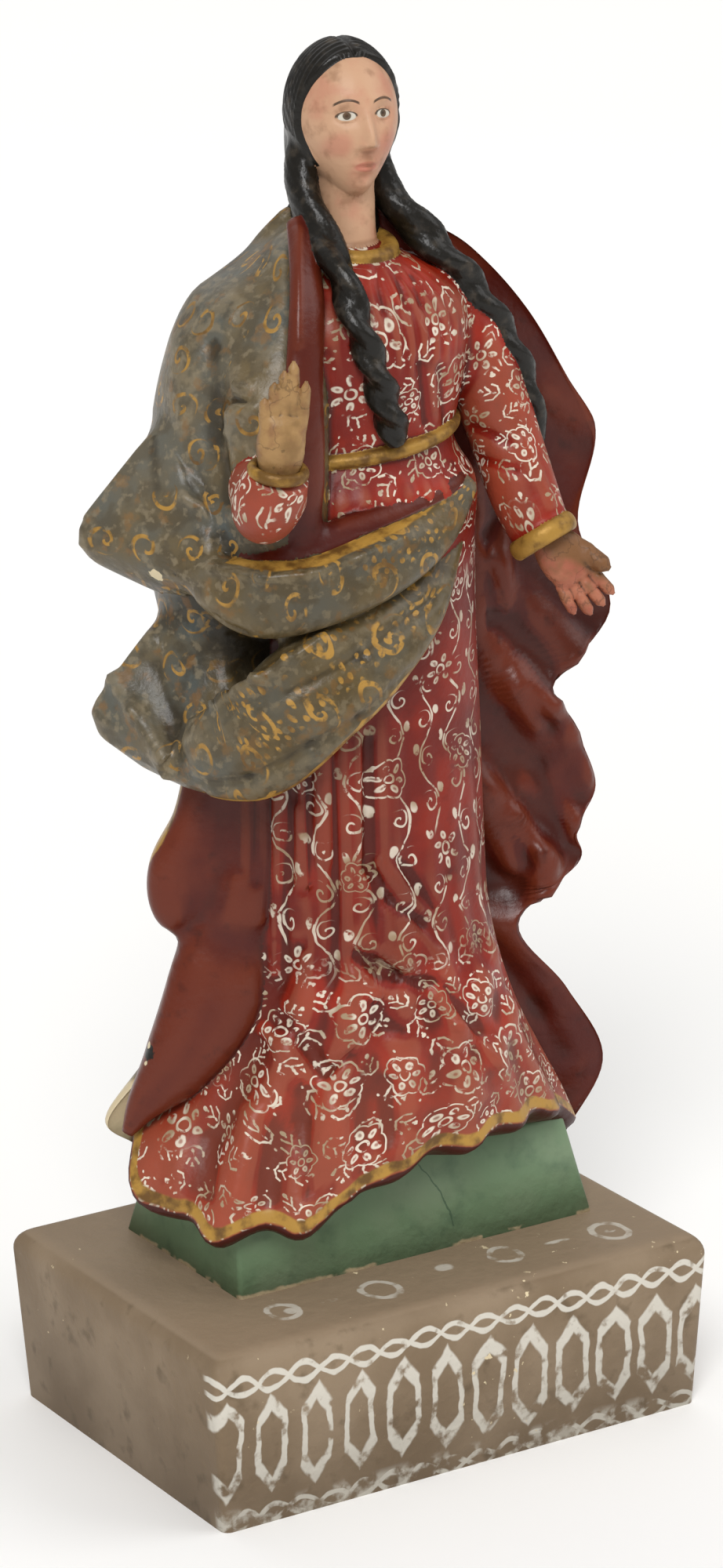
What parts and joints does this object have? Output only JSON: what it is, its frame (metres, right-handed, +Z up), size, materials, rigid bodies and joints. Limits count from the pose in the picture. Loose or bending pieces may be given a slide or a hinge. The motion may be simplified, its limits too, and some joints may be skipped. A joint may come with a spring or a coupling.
{
  "type": "wooden saint statue",
  "caption": "Painted carved wooden saint standing in a patterned robe and draped mantle with braided hair and open hands, on a green ground block and a brown painted plinth.",
  "frame": {"origin": "centre of the plinth's underside", "axes": "+Z up, -Y the way the figure faces, +X towards the figure's left along the plinth's long side"},
  "size_m": [0.4718, 0.3384, 1.1366],
  "materials": {
    "painted_plinth": "worn matt paint, taupe with white painted borders",
    "painted_ground": "worn satin paint, mid green",
    "painted_figure": "worn satin oil paint: brick red, grey blue, maroon, black and flesh, with gold and white painted patterns",
    "painted_hands": "worn flesh paint with brown grime"
  },
  "bodies": {
    "root": {"plinth": "painted_plinth", "ground_block": "painted_ground", "figure": "painted_figure", "raised_hand": "painted_hands", "lowered_hand": "painted_hands"}
  },
  "joints": []
}
